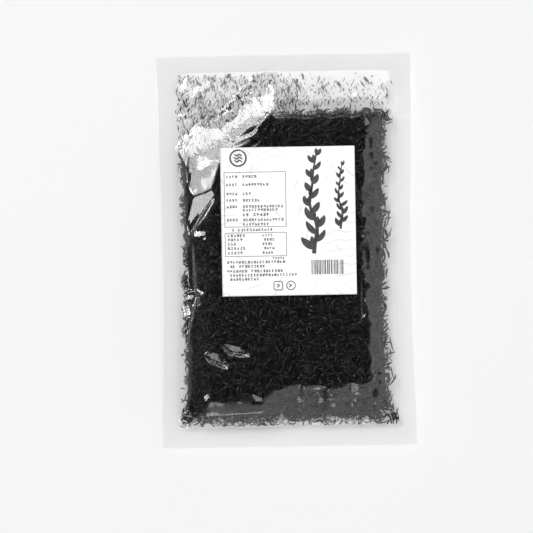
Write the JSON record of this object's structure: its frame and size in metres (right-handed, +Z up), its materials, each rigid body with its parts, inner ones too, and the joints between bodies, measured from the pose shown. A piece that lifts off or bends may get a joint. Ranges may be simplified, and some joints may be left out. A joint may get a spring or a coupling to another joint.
{
  "type": "packet of dried hijiki seaweed",
  "caption": "Flat heat-sealed pouch of clear film filled with a bed of short dried seaweed strands, with a square paper label on its front.",
  "frame": {"origin": "under the middle of the pouch's outline, on the surface it lies on", "axes": "+Z up through the label, +Y along the pouch towards its top seal, +X to the right as the label is read"},
  "size_m": [0.18, 0.277, 0.0221],
  "materials": {
    "clear_film": "clear glossy packaging film, slightly milky in the sealed bands",
    "dried_seaweed": "near-black dried strands, wrinkled, with a dull sheen",
    "label_paper": "matte white label paper"
  },
  "bodies": {
    "root": {"film_back": "clear_film", "film_front": "clear_film", "hijiki": "dried_seaweed", "label": "label_paper"}
  },
  "joints": []
}
